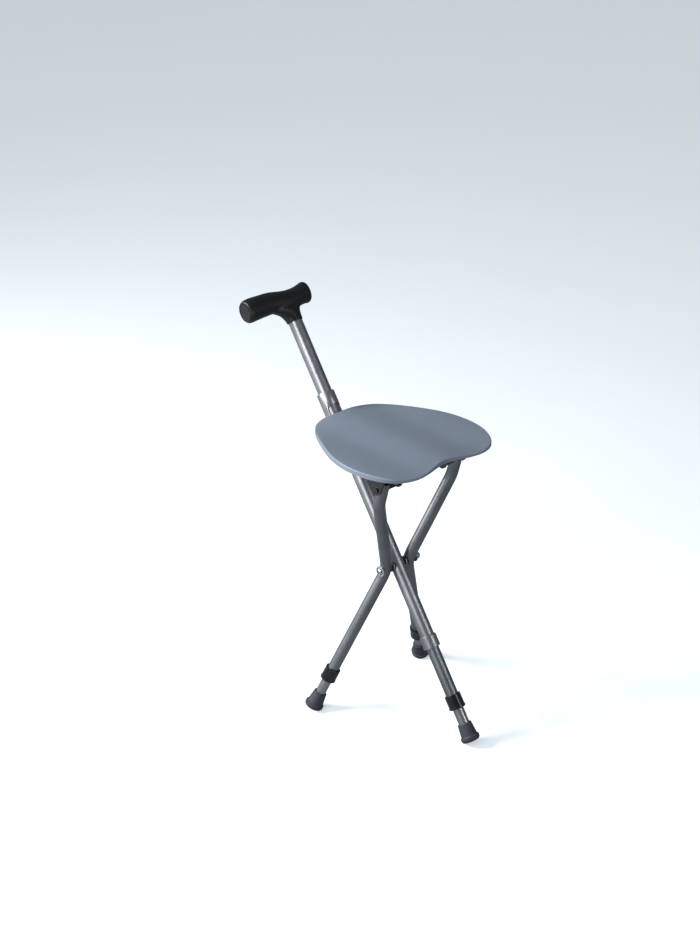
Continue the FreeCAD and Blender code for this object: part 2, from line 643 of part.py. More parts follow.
def seat_ribs(inner):
    """Straight stiffening ribs below the seat, kept clear of the brackets and of the fork."""
    low = SEAT_UNDER - RIB_DEPTH
    reach = 2 * SEAT_WIDEST[1]
    half = RIB_THICKNESS / 2
    across = [(index + 0.5) * RIB_PITCH_X - half for index in range(-RIB_ROWS, RIB_ROWS)]
    along = [index * RIB_PITCH_Y for index in range(-RIB_ROWS, RIB_ROWS + 1)]
    ribs = [box(x - half, x + half, -reach, reach, low, SEAT_UNDER + OVERCUT) for x in across]
    ribs += [box(-reach, reach, y - half, y + half, low, SEAT_UNDER + OVERCUT) for y in along]
    grid = ribs[0].multiFuse(ribs[1:]).common(inner)
    side = FORK_HALF_WIDTH + RIB_GAP
    fork = box(-reach, FORK_FRONT + RIB_GAP, -side, side, low - OVERCUT, SEAT_UNDER)
    bracket = box(
        BRACKET_REAR - RIB_GAP, BRACKET_FRONT + RIB_GAP, BRACKET_INNER - RIB_GAP, BRACKET_OUTER + RIB_GAP,
        low - OVERCUT, SEAT_UNDER)
    return grid.cut(fork.multiFuse([bracket, mirrored(bracket)]))


def seat_plate():
    rim_low = SEAT_TOP - SEAT_EDGE_DEPTH
    body = prism(seat_outline(), rim_low, SEAT_TOP + OVERCUT)
    body = body.cut(surface_cutter())
    upper = [edge for edge in body.Edges if edge.BoundBox.ZMin > rim_low and edge.Closed]
    body = body.makeFillet(SEAT_EDGE_ROUND, upper)
    inner = seat_outline(SEAT_RIM)
    body = body.cut(prism(inner, rim_low - OVERCUT, SEAT_UNDER))
    body = body.fuse(seat_ribs(prism(inner, rim_low - RIB_DEPTH, SEAT_UNDER + OVERCUT)))
    spots = [V(x, y, 0) for x, y in screw_spots() + fork_spots()]
    for spot in spots:
        body = body.fuse(rod(BOSS_RADIUS, PLATE_TOP, SEAT_UNDER + OVERCUT, centre=spot))
    for spot in spots:
        body = body.cut(screw_hole(spot, PLATE_TOP + SCREW_BITE + FACE_GAP))
    return body


def screw_hole(spot, top):
    return rod(SCREW_RADIUS + PIN_FIT, PLATE_UNDER - OVERCUT, top, centre=spot)


def ear_face(hinge, radius, top, x0, x1):
    """Side view of a hinge ear: a straight root that narrows to a round end at the hinge."""
    round_end = Part.Face(Part.Wire(Part.makeCircle(radius, V(hinge.x, 0, hinge.z), AXIS_Y)))
    edge_left = tangent_point(hinge, radius, x0, top, -1)
    edge_right = tangent_point(hinge, radius, x1, top, 1)
    root = Part.Face(Part.makePolygon([
        V(x0, 0, top), V(x1, 0, top), edge_right, V(hinge.x, 0, hinge.z), edge_left, V(x0, 0, top)]))
    return root.fuse(round_end).removeSplitter()


def tangent_point(hinge, radius, x, z, side):
    """Where a line from (x, z) touches the circle about the hinge."""
    dx, dz = x - hinge.x, z - hinge.z
    reach = math.hypot(dx, dz)
    turn = math.atan2(dz, dx) - side * math.acos(radius / reach)
    return V(hinge.x + radius * math.cos(turn), 0, hinge.z + radius * math.sin(turn))


def ear(hinge, radius, top, x0, x1, y0, thickness):
    face = ear_face(hinge, radius, top, x0, x1)
    face.translate(V(0, y0, 0))
    return face.extrude(AXIS_Y * thickness)


def left_bracket():
    """Moulded bracket: a screwed plate, two ears and a web in front, round one leg's top."""
    rear, front = BRACKET_REAR + EAR_SETBACK, BRACKET_FRONT - EAR_SETBACK
    shape = box(BRACKET_REAR, BRACKET_FRONT, BRACKET_INNER, BRACKET_OUTER, PLATE_UNDER, PLATE_TOP)
    for start in (INNER_EAR, OUTER_EAR):
        shape = shape.fuse(ear(FRONT_HINGE, EAR_RADIUS, PLATE_UNDER, rear, front, start, EAR))
    web = box(front - PLATE, front, INNER_EAR, OUTER_EAR + EAR, PLATE_UNDER - WEB_DEPTH, PLATE_UNDER)
    shape = shape.fuse(web)
    shape = shape.cut(rod(HINGE_PIN_RADIUS + PIN_FIT, 0, 2 * OUTER_EAR, AXIS_Y, FRONT_HINGE))
    for x, y in screw_spots():
        shape = shape.cut(screw_hole(V(x, y, 0), PLATE_TOP + OVERCUT))
    return shape.removeSplitter()


def left_hinge_pin():
    """Headed pin through the bracket's ears, with a push-on cap at its inner end."""
    start = INNER_EAR - FACE_GAP
    end = OUTER_EAR + EAR + FACE_GAP
    pin = rod(HINGE_PIN_RADIUS, start - HINGE_HEAD, end + HINGE_HEAD, AXIS_Y, FRONT_HINGE)
    pin = pin.fuse(rod(HINGE_HEAD_RADIUS, end, end + HINGE_HEAD, AXIS_Y, FRONT_HINGE))
    cap = rod(HINGE_HEAD_RADIUS, start - HINGE_HEAD, start, AXIS_Y, FRONT_HINGE)
    return pin.fuse(cap).removeSplitter()


def left_hinge_spacer():
    """Tube on the hinge pin that keeps the leg against the outer ear."""
    start = INNER_EAR + EAR + FACE_GAP
    end = LEG_TOP_OFFSET - LEG_OD / 2 - FACE_GAP
    return ring(HINGE_SPACER_RADIUS, HINGE_PIN_RADIUS + PIN_FIT, start, end, AXIS_Y, FRONT_HINGE)


def rear_fork():
    """Plate below the seat's rear with two arms that straddle the sliding collar."""
    shape = box(FORK_REAR, FORK_FRONT, -FORK_HALF_WIDTH, FORK_HALF_WIDTH, PLATE_UNDER, PLATE_TOP)
    front = FORK_FRONT - FORK_EAR_SETBACK
    for start in (FORK_ARM_INNER, -FORK_ARM_INNER - FORK_ARM):
        shape = shape.fuse(ear(REAR_HINGE, FORK_EAR_RADIUS, PLATE_UNDER, FORK_REAR, front, start, FORK_ARM))
    shape = shape.cut(rod(HINGE_PIN_RADIUS + PIN_FIT, -SLIDE_OD, SLIDE_OD, AXIS_Y, REAR_HINGE))
    for x, y in fork_spots():
        shape = shape.cut(screw_hole(V(x, y, 0), PLATE_TOP + OVERCUT))
    return shape.removeSplitter()


def screws(spots):
    """Crowned screws driven up through a plate into the seat's bosses."""
    low, high = PLATE_UNDER - SCREW_HEAD, PLATE_TOP + SCREW_BITE
    shape = revolved([
        (0, low), (SCREW_HEAD_RADIUS - SCREW_CROWN, low), (SCREW_HEAD_RADIUS, low + SCREW_CROWN),
        (SCREW_HEAD_RADIUS, PLATE_UNDER), (SCREW_RADIUS, PLATE_UNDER), (SCREW_RADIUS, high), (0, high)])
    return Part.makeCompound([shifted(shape, V(x, y, 0)) for x, y in spots])


def grip_section(y, height, rise, depth):
    """One oval section of the grip, in a plane across its length."""
    ellipse = Part.Ellipse(V(0, y, GRIP_AXIS + rise), max(height, depth), min(height, depth))
    shape = ellipse.toShape()
    spot = V(0, y, GRIP_AXIS + rise)
    shape.rotate(spot, AXIS_X, 90)
    shape.rotate(spot, AXIS_Y, 90)
    return Part.Wire(shape)


def handle_grip():
    """Moulded grip with a waist by the fingers, a raised end and a flared neck on the shaft."""
    h, d = GRIP_HALF_HEIGHT, GRIP_HALF_DEPTH
    left, right = GRIP_LEFT_END, -GRIP_RIGHT_END
    stations = [
        (right, 0.98 * h, -GRIP_SAG, d), (right * 0.72, 0.99 * h, -0.4 * GRIP_SAG, 0.99 * d),
        (right * 0.4, 0.97 * h, 0.1 * GRIP_SAG, 0.96 * d), (0, 0.93 * h, -0.4 * GRIP_SAG, 0.97 * d),
        (left * 0.45, 0.93 * h, -0.4 * GRIP_SAG, 0.98 * d), (left * 0.82, 0.97 * h, 0.3 * GRIP_SAG, 0.9 * d),
        (left, 0.62 * h, 0.8 * GRIP_SAG, 0.55 * d)]
    body = Part.makeLoft([grip_section(*station) for station in stations], True, False)
    shape = body.fuse(handle_neck())
    shape = shape.cut(rod(MAIN_OD / 2 + RUBBER_FIT, NECK_BOTTOM - OVERCUT, MAIN_ABOVE_PIVOT))
    shape = shape.cut(rivet_hole(HANDLE_SCREW))
    return placed(shape.cut(end_cap(GRIP_HALF_DEPTH - END_CAP_INSET)), SHAFT)


def handle_neck():
    """Round sleeve on the shaft that flares along the grip, as (height, along, across) ovals."""
    start = NECK_BOTTOM + NECK_STRAIGHT
    top = GRIP_AXIS - NECK_TOP_DROP
    radius = NECK_RADIUS
    ovals = [
        (NECK_BOTTOM, 1.01 * radius, radius), (start, 1.04 * radius, radius),
        (0.5 * (start + top), 1.2 * radius, 0.97 * radius), (top, 1.6 * radius, 0.78 * radius)]
    return Part.makeLoft([neck_section(*oval) for oval in ovals], True, False)


def neck_section(height, along, across):
    """Oval section of the handle's neck, longer along the grip."""
    spot = V(0, 0, height)
    ellipse = Part.Ellipse(spot, along, across).toShape()
    ellipse.rotate(spot, AXIS_Z, 90)
    return Part.Wire(ellipse)


def end_cap(radius):
    """Disc at the long end of the grip, standing a little proud of it."""
    centre = V(0, 0, GRIP_AXIS - GRIP_SAG)
    return rod(radius, -GRIP_RIGHT_END - END_CAP_PROUD, END_CAP - GRIP_RIGHT_END, AXIS_Y, centre)


def handle_end_cap():
    """Round plug that closes the long end of the grip."""
    return placed(end_cap(GRIP_HALF_DEPTH - END_CAP_INSET - RUBBER_FIT), SHAFT)


def handle_plug():
    """Nylon plug inside the shaft's top, which the handle's screw bites into."""
    plug = rod(MAIN_BORE - TUBE_FIT, MAIN_ABOVE_PIVOT - PLUG_LENGTH, MAIN_ABOVE_PIVOT)
    return placed(plug.cut(rivet_hole(HANDLE_SCREW)), SHAFT)


def build():
    nodes = {
        "main_tube": main_tube(),
        "lower_tube": lower_tube(),
        "joint_collar": joint_collar(),
        "joint_rivet": rivet(JOINT_RIVET, JOINT_COLLAR_OD / 2, LOWER_BORE - RIVET_TAIL),
        "stop_ring": stop_ring(),
        "stop_rivet": rivet(STOP_RIVET, MAIN_OD / 2 + STOP_WALL, MAIN_BORE - RIVET_TAIL),
        "handle_grip": handle_grip(),
        "handle_end_cap": handle_end_cap(),
        "handle_plug": handle_plug(),
        "handle_screw": rivet(HANDLE_SCREW, NECK_RADIUS, HANDLE_SCREW_REACH),
        "slide_collar": slide_collar(),
        "slide_pins": slide_pins(),
        "pivot_bolt": pivot_bolt(),
        "pivot_nut": pivot_nut(),
        "pivot_outer_washers": pivot_discs(OUTER_DISC_FACE),
        "pivot_inner_washers": pivot_discs(SHAFT_SPACER_FACE),
        "pivot_spacers": pivot_spacers(),
        "pivot_sleeve": pivot_sleeve(),
        "seat_plate": seat_plate(),
        "rear_fork": rear_fork(),
        "bracket_screws": screws(screw_spots()),
        "fork_screws": screws(fork_spots())}
    nodes.update(front_foot())
    left = {
        "leg_tube": left_leg_tube(),
        "leg_plug": left_leg_plug(),
        "leg_saddle": left_leg_saddle(),
        "bracket": left_bracket(),
        "hinge_pin": left_hinge_pin(),
        "hinge_spacer": left_hinge_spacer()}
    left.update(left_foot())
    for name, shape in left.items():
        nodes["left_" + name] = shape
        nodes["right_" + name] = mirrored(shape)
    return nodes


def centred(nodes):
    """Move the part along X so that its origin is the middle of its length."""
    ends = [nodes[name].optimalBoundingBox(False, False) for name in ("handle_grip", "front_rubber_tip")]
    middle = (min(end.XMin for end in ends) + max(end.XMax for end in ends)) / 2
    print("the pivot bolt is", round(-middle, 4), "mm ahead of the origin")
    return {name: shifted(shape, V(-middle, 0, 0)) for name, shape in nodes.items()}


os.makedirs("parts", exist_ok=True)
for name, shape in centred(build()).items():
    shape.exportStep("parts/" + name + ".step")
    print(name, len(shape.Solids), shape.isValid(), round(shape.Volume))
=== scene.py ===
import math

import bmesh
import bpy
from mathutils import Matrix, Vector


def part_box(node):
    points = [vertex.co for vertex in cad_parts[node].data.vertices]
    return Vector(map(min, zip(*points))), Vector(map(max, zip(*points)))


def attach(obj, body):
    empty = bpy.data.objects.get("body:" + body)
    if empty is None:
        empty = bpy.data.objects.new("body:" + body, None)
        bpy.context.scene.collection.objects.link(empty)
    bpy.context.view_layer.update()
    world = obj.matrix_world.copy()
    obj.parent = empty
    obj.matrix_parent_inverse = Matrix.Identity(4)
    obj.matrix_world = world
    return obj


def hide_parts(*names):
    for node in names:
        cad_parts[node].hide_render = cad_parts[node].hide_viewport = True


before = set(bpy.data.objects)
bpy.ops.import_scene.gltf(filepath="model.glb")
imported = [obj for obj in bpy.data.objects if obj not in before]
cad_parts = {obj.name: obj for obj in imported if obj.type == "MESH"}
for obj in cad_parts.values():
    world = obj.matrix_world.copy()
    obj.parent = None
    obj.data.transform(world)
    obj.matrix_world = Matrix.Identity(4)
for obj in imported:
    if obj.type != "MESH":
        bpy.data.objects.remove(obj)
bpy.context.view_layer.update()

# The pivot bolt, which the camera and the lights are placed from, and the shaft's lean
BOLT_LOW, BOLT_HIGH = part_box("pivot_bolt")
PIVOT = Vector(((BOLT_LOW[0] + BOLT_HIGH[0]) / 2, 0.0, (BOLT_LOW[2] + BOLT_HIGH[2]) / 2))
SHAFT_LEAN = 35.8

# The shaft's own frame at the pivot: X to the front, Y to the left and Z up the shaft
SHAFT = Matrix.Translation(PIVOT) @ Matrix.Rotation(math.radians(-SHAFT_LEAN), 4, "Y")
MM = 0.001

# Camera, from the photograph's viewing angle
CAMERA_OFFSET = Vector((1.8560, -1.8042, 1.4683))
CAMERA_AZIMUTH = 47.674
CAMERA_ELEVATION = 26.295
CAMERA_ROLL = 0.41
CAMERA_LENS = 65.18
SENSOR = 36.0

# Finishes, in linear colour
SEAT_COLOUR = (0.215, 0.258, 0.322)
TUBE_COLOUR = (0.40, 0.41, 0.43)
COLLAR_COLOUR = (0.42, 0.43, 0.45)
GRIP_COLOUR = (0.007, 0.0075, 0.009)
LOCK_COLOUR = (0.006, 0.006, 0.007)
# Legs and lower tube: the shaft's aluminium painted darker, painted shade for the weaker light that falls on
# them
SHADED_TUBE_COLOUR = (0.27, 0.285, 0.31)
WASHER_COLOUR = (0.75, 0.75, 0.77)
RUBBER_COLOUR = (0.042, 0.048, 0.060)
STEEL_COLOUR = (0.62, 0.62, 0.64)
FLOOR_COLOUR = (0.84, 0.90, 0.94)
FLOOR_ROUGHNESS = 0.75
FLOOR_HALF = 14.0
FLOOR_GLOW = 0.55
FLOOR_BOUNCE = 0.35
SKY_COLOUR = (0.80, 0.90, 1.0)
WORLD_LIGHT = 0.16

# How many times to the metre each texture repeats, and how far the drawn lines are squeezed
TUBE_CLOUD = 28.0
TUBE_LINES = 2400.0
TUBE_SQUEEZE = 0.01
STEEL_CLOUD = 300.0
STEEL_SCUFF = 2200.0
FLOOR_CLOUD = 3.0
RAMP_ENDS = (0.32, 0.68)

# Handle, in millimetres in the shaft's frame. Grip: place to the left, rise of the oval's centre
# above the grip's axis, half height and half depth. Neck: rise, reach left and right, half depth.
GRIP_AXIS = 506.5
GRIP_OVALS = [
    (-93.0, -2.0, 19.0, 15.6), (-89.0, -1.9, 20.6, 16.8), (-78.0, -0.7, 21.0, 17.0), (-60.0, 0.2, 20.3, 16.6),
    (-35.0, 0.7, 19.6, 16.0), (-10.0, -1.9, 18.5, 16.0), (5.0, -2.4, 17.8, 16.0), (22.0, -1.3, 17.8, 15.6),
    (36.0, 1.0, 18.6, 15.2), (44.0, 1.7, 19.9, 15.0), (49.5, 1.9, 17.4, 12.4)]
NECK_BOTTOM = 463.0
NECK_OVALS = [
    (0.0, 14.4, 15.4, 14.6), (7.0, 14.6, 17.2, 14.6), (17.0, 16.5, 24.0, 14.7), (23.0, 20.5, 34.0, 14.4),
    (30.0, 29.0, 48.0, 13.2)]
# The end cap's rings: place to the left and share of the grip's end oval
CAP_RINGS = [(-88.0, 0.93), (-93.9, 0.93), (-94.5, 0.91), (-94.5, 0.84), (-93.7, 0.81), (-93.7, 0.05)]
RING_POINTS = 64
STATION_STEPS = 6
# The grip and neck are blended on cells of this size, in metres, and then softened
GRIP_VOXEL = 0.0012
SOFTEN_SHARE = 0.5
SOFTEN_PASSES = 10

# Sliding collar, in millimetres in the shaft's frame
COLLAR_RADIUS = 16.0
COLLAR_WALL = 3.0
COLLAR_LOW = 248.4
COLLAR_HIGH = 326.9
OPENING_TOP = 302.6
OPENING_HALF = 14.2
OPENING_CORNER = 6.0
BOSS_ALONG = 262.445
FLAT_STEPS = 6
CORNER_STEPS = 8
BACK_STEPS = 48
COLLAR_ROUNDING = 0.5
COLLAR_ROUNDED_EDGE = math.radians(45)
# The bosses' rings: distance to the side and radius
BOSS_RINGS = [(12.0, 8.0), (17.8, 8.0), (18.2, 7.6)]

# A piece's edges that turn by more than this stay sharp
SHARP_EDGE = math.radians(28)

# Soft boxes: name, metres to the right, in front and above the pivot, size and power
LIGHTS = [
    ("left_strip", -1.25, 1.55, 0.85, (0.6, 1.4), 15.0),
    ("right_strip", 1.55, 1.05, 0.75, (0.3, 1.5), 7.0),
    ("left_high", -2.1, 0.1, 1.15, (0.8, 0.8), 75.0),
    ("overhead", -0.6, 0.2, 2.4, (1.5, 1.5), 4.0)]


def shade(colour, factor):
    return tuple(min(1.0, part * factor) for part in colour) + (1.0,)


def node_tools(name):
    """A new material with its node tree, its shader and a shared coordinate node."""
    made = bpy.data.materials.new(name)
    made.use_nodes = True
    tree = made.node_tree
    shader = tree.nodes["Principled BSDF"]
    place = tree.nodes.new("ShaderNodeTexCoord")
    return made, tree, shader, place.outputs["Object"]


def noise(tree, vector, scale, detail=3.0, roughness=0.55):
    texture = tree.nodes.new("ShaderNodeTexNoise")
    texture.inputs["Scale"].default_value = scale
    texture.inputs["Detail"].default_value = detail
    texture.inputs["Roughness"].default_value = roughness
    tree.links.new(vector, texture.inputs["Vector"])
    return texture.outputs["Fac"]


def spread(tree, value, low, high, start=0.3, end=0.7):
    """Stretches a texture's value over a range."""
    ranged = tree.nodes.new("ShaderNodeMapRange")
    ranged.inputs["From Min"].default_value = start
    ranged.inputs["From Max"].default_value = end
    ranged.inputs["To Min"].default_value = low
    ranged.inputs["To Max"].default_value = high
    tree.links.new(value, ranged.inputs["Value"])
    return ranged.outputs["Result"]


def tinted(tree, value, dark, light):
    """Two shades mixed by a texture's value."""
    ramp = tree.nodes.new("ShaderNodeValToRGB")
    ramp.color_ramp.elements[0].position, ramp.color_ramp.elements[1].position = RAMP_ENDS
    ramp.color_ramp.elements[0].color = dark
    ramp.color_ramp.elements[1].color = light
    tree.links.new(value, ramp.inputs["Fac"])
    return ramp.outputs["Color"]


def bumped(tree, shader, value, strength, distance):
    bump = tree.nodes.new("ShaderNodeBump")
    bump.inputs["Strength"].default_value = strength
    bump.inputs["Distance"].default_value = distance
    tree.links.new(value, bump.inputs["Height"])
    tree.links.new(bump.outputs["Normal"], shader.inputs["Normal"])


def drawn(tree, vector, lean, stretch):
    """Coordinates that run along a tube leaning in the X-Z plane, squeezed along it."""
    turned = tree.nodes.new("ShaderNodeMapping")
    turned.inputs["Rotation"].default_value = (0.0, math.radians(lean), 0.0)
    tree.links.new(vector, turned.inputs["Vector"])
    squeezed = tree.nodes.new("ShaderNodeMapping")
    squeezed.inputs["Scale"].default_value = (1.0, 1.0, stretch)
    tree.links.new(turned.outputs["Vector"], squeezed.inputs["Vector"])
    return squeezed.outputs["Vector"]


def tube_metal(name, colour, roughness, lean=0.0, stretch=1.0):
    """Satin anodised aluminium with fine lines drawn along the tube."""
    made, tree, shader, place = node_tools(name)
    along = drawn(tree, place, lean, stretch)
    cloud = noise(tree, place, TUBE_CLOUD, detail=2.0)
    lines = noise(tree, along, TUBE_LINES, detail=2.0)
    shader.inputs["Metallic"].default_value = 1.0
    tree.links.new(
        tinted(tree, cloud, shade(colour, 0.88), shade(colour, 1.1)), shader.inputs["Base Color"])
    tree.links.new(spread(tree, lines, roughness - 0.05, roughness + 0.07), shader.inputs["Roughness"])
    bumped(tree, shader, lines, strength=0.12, distance=0.0002)
    return made


def moulded(name, colour, roughness, grain, depth, coat=0.0, cloud_scale=35.0, contrast=0.12):
    """Moulded plastic: a faint cloud of colour and a fine grain in the surface."""
    made, tree, shader, place = node_tools(name)
    cloud = noise(tree, place, cloud_scale, 3.0)
    fine = noise(tree, place, grain, 3.0, 0.6)
    shader.inputs["Coat Weight"].default_value = coat
    shader.inputs["Coat Roughness"].default_value = 0.25
    tree.links.new(
        tinted(tree, cloud, shade(colour, 1 - contrast), shade(colour, 1 + contrast)),
        shader.inputs["Base Color"])
    tree.links.new(spread(tree, fine, roughness - 0.05, roughness + 0.08), shader.inputs["Roughness"])
    bumped(tree, shader, fine, strength=depth, distance=0.0003)
    return made


def bright_steel(name, colour, roughness):
    """Zinc-plated steel with fine scuffs."""
    made, tree, shader, place = node_tools(name)
    cloud = noise(tree, place, STEEL_CLOUD, detail=4.0)
    scuff = noise(tree, place, STEEL_SCUFF, detail=4.0)
    shader.inputs["Metallic"].default_value = 1.0
    tree.links.new(
        tinted(tree, cloud, shade(colour, 0.8), shade(colour, 1.15)), shader.inputs["Base Color"])
    tree.links.new(spread(tree, scuff, roughness - 0.06, roughness + 0.1), shader.inputs["Roughness"])
    bumped(tree, shader, scuff, strength=0.1, distance=0.0001)
    return made


def smoothed(obj):
    """Smooth shading; the edges marked sharp stay."""
    for polygon in obj.data.polygons:
        polygon.use_smooth = True


def dress(material, slot, *nodes):
    for node in nodes:
        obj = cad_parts[node]
        obj.data.materials.clear()
        obj.data.materials.append(material)
        smoothed(obj)


SIDES = ("left", "right")
FEET = ("front", "left", "right")


def curved(stations):
    """Rows of numbers with smooth rows between them."""
    last = len(stations) - 1
    rows = []
    for index in range(last):
        near = [stations[min(max(index + shift, 0), last)] for shift in (-1, 0, 1, 2)]
        for step in range(STATION_STEPS):
            t = step / STATION_STEPS
            rows.append([
                b + 0.5 * t * (c - a + t * (2 * a - 5 * b + 4 * c - d + t * (3 * b - a - 3 * c + d)))
                for a, b, c, d in zip(*near)])
    rows.append(list(stations[last]))
    return rows


def around():
    return [2 * math.pi * index / RING_POINTS for index in range(RING_POINTS)]


def add_loft(mesh, rings):
    """A closed skin over rings of points, flat at both ends."""
    loops = [[mesh.verts.new(point) for point in ring] for ring in rings]
    for low, high in zip(loops, loops[1:]):
        for index in range(len(low)):
            after = (index + 1) % len(low)
            mesh.faces.new((low[index], low[after], high[after], high[index]))
    mesh.faces.new(loops[0])
    mesh.faces.new(loops[-1])
    bmesh.ops.recalc_face_normals(mesh, faces=mesh.faces)


def piece_from(mesh, name):
    """A piece from a mesh in millimetres in the shaft's frame."""
    data = bpy.data.meshes.new(name)
    mesh.to_mesh(data)
    mesh.free()
    data.transform(SHAFT @ Matrix.Scale(MM, 4))
    piece = bpy.data.objects.new(name, data)
    bpy.context.scene.collection.objects.link(piece)
    return piece


def settle(piece):
    """Turns a piece's modifiers into its mesh."""
    bpy.context.view_layer.update()
    shape = piece.evaluated_get(bpy.context.evaluated_depsgraph_get())
    data = bpy.data.meshes.new_from_object(shape)
    piece.modifiers.clear()
    piece.data = data


def finish_piece(piece, material, body, node, edge=SHARP_EDGE):
    """Material, sharp edges and the node that the piece stands for."""
    mesh = bmesh.new()
    mesh.from_mesh(piece.data)
    for side in mesh.edges:
        side.smooth = side.calc_face_angle(0.0) < edge
    mesh.to_mesh(piece.data)
    mesh.free()
    smoothed(piece)
    piece.data.materials.clear()
    piece.data.materials.append(material)
    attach(piece, body)
    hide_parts(node)


def make_handle(material):
    """The grip with its neck as one blended moulding, and the oval end cap with its raised edge."""
    mesh = bmesh.new()
    add_loft(mesh, [
        [(depth * math.cos(t), left, GRIP_AXIS + rise + height * math.sin(t)) for t in around()]
        for left, rise, height, depth in curved(GRIP_OVALS)])
    add_loft(mesh, [
        [(depth * math.cos(t), (left if math.sin(t) > 0 else right) * math.sin(t), NECK_BOTTOM + rise)
         for t in around()]
        for rise, left, right, depth in curved(NECK_OVALS)])
    grip = piece_from(mesh, "handle_moulding")
    remesh = grip.modifiers.new("blend", "REMESH")
    remesh.mode = "VOXEL"
    remesh.voxel_size = GRIP_VOXEL
    soften = grip.modifiers.new("soften", "SMOOTH")
    soften.factor = SOFTEN_SHARE
    soften.iterations = SOFTEN_PASSES
    settle(grip)
    finish_piece(grip, material, "frame", "handle_grip", math.pi)
    _, rise, height, depth = GRIP_OVALS[0]
    mesh = bmesh.new()
    add_loft(mesh, [
        [(depth * share * math.cos(t), left, GRIP_AXIS + rise + height * share * math.sin(t))
         for t in around()]
        for left, share in CAP_RINGS])
    finish_piece(piece_from(mesh, "handle_cap_disc"), material, "frame", "handle_end_cap")


def opening_columns():
    """Across the opening: how far to the side each column stands and where it begins along the shaft."""
    flat = OPENING_HALF - OPENING_CORNER
    sides = [flat * step / FLAT_STEPS for step in range(FLAT_STEPS + 1)]
    columns = [(side, OPENING_TOP) for side in sides]
    for step in range(1, CORNER_STEPS + 1):
        turn = math.radians(90 * step / CORNER_STEPS)
        columns.append((
            flat + OPENING_CORNER * math.sin(turn), OPENING_TOP - OPENING_CORNER * (1 - math.cos(turn))))
    return [(-side, low) for side, low in columns[:0:-1]] + columns


def make_slide_collar(material):
    """The sliding collar: a plain sleeve with an arched opening in front and a boss on either side."""
    mesh = bmesh.new()

    def point(angle, along):
        return mesh.verts.new((COLLAR_RADIUS * math.cos(angle), COLLAR_RADIUS * math.sin(angle), along))

    edge = math.asin(OPENING_HALF / COLLAR_RADIUS)
    front = [[point(math.asin(side / COLLAR_RADIUS), along) for along in (low, COLLAR_HIGH)]
             for side, low in opening_columns()]
    turns = [edge + (2 * math.pi - 2 * edge) * step / BACK_STEPS for step in range(BACK_STEPS + 1)]
    back = [[point(turn, along) for along in (COLLAR_LOW, OPENING_TOP - OPENING_CORNER, COLLAR_HIGH)]
            for turn in turns]
    for columns in (front, back):
        for now, after in zip(columns, columns[1:]):
            for row in range(len(now) - 1):
                mesh.faces.new((now[row], after[row], after[row + 1], now[row + 1]))
    bmesh.ops.remove_doubles(mesh, verts=mesh.verts, dist=0.001)
    collar = piece_from(mesh, "slide_sleeve")
    smoothed(collar)
    wall = collar.modifiers.new("wall", "SOLIDIFY")
    wall.thickness = COLLAR_WALL * MM
    wall.offset = -1.0
    rounding = collar.modifiers.new("rounding", "BEVEL")
    rounding.width = COLLAR_ROUNDING * MM
    rounding.segments = 2
    rounding.limit_method = "ANGLE"
    rounding.angle_limit = COLLAR_ROUNDED_EDGE
    settle(collar)
    finish_piece(collar, material, "slide_collar", "slide_collar")
    for side, name in ((1, "left"), (-1, "right")):
        mesh = bmesh.new()
        add_loft(mesh, [
            [(radius * math.cos(t), side * left, BOSS_ALONG + radius * math.sin(t)) for t in around()]
            for left, radius in BOSS_RINGS])
        boss = piece_from(mesh, name + "_slide_boss")
        finish_piece(boss, material, "slide_collar", "slide_collar")


def dress_all():
    """A finish for every node, and the pieces that scene.py makes itself."""
    shaft = tube_metal("shaft_aluminium", TUBE_COLOUR, roughness=0.38, lean=SHAFT_LEAN, stretch=TUBE_SQUEEZE)
    # Painted shade: a darker copy of the shaft's aluminium for the legs and the lower tube
    legs = tube_metal("shaded_tube_aluminium", SHADED_TUBE_COLOUR, roughness=0.4)
    feet = tube_metal("foot_aluminium", TUBE_COLOUR, roughness=0.34)
    collars = tube_metal("collar_aluminium", COLLAR_COLOUR, roughness=0.36)
    seat = moulded(
        "seat_plastic", SEAT_COLOUR, roughness=0.46, grain=1500.0, depth=0.25,
        cloud_scale=12.0, contrast=0.03)
    grip = moulded("grip_plastic", GRIP_COLOUR, roughness=0.42, grain=1300.0, depth=0.25, coat=0.1)
    locks = moulded("lock_plastic", LOCK_COLOUR, roughness=0.22, grain=700.0, depth=0.08, coat=0.4)
    rubber = moulded("tip_rubber", RUBBER_COLOUR, roughness=0.62, grain=1000.0, depth=0.4)
    steel = bright_steel("zinc_steel", STEEL_COLOUR, roughness=0.24)
    washers = bright_steel("washer_steel", WASHER_COLOUR, roughness=0.4)
    dress(shaft, "shaft", "main_tube")
    dress(legs, "legs", "left_leg_tube", "right_leg_tube", "lower_tube")
    dress(feet, "feet", *[foot + "_foot_tube" for foot in FEET])
    dress(collars, "collars", "joint_collar", "stop_ring", "slide_collar")
    dress(seat, "seat", "seat_plate")
    dress(grip, "grip", "handle_grip", "handle_end_cap")
    dress(locks, "black", "handle_plug", "rear_fork", "pivot_spacers")
    dress(locks, "black", *[foot + "_lock_collar" for foot in FEET])
    dress(locks, "black", *[foot + "_collet" for foot in FEET])
    for side in SIDES:
        hinge = ("_bracket", "_hinge_spacer", "_leg_saddle", "_leg_plug", "_hinge_pin")
        dress(locks, "black", *[side + part for part in hinge])
    dress(rubber, "rubber", *[foot + "_rubber_tip" for foot in FEET])
    dress(steel, "steel", *[foot + "_tip_washer" for foot in FEET])
    dress(
        steel, "steel", "pivot_bolt", "pivot_nut", "pivot_sleeve",
        "joint_rivet", "stop_rivet", "handle_screw", "slide_pins", "bracket_screws", "fork_screws")
    dress(washers, "steel", "pivot_outer_washers", "pivot_inner_washers")
    make_handle(grip)
    make_slide_collar(collars)


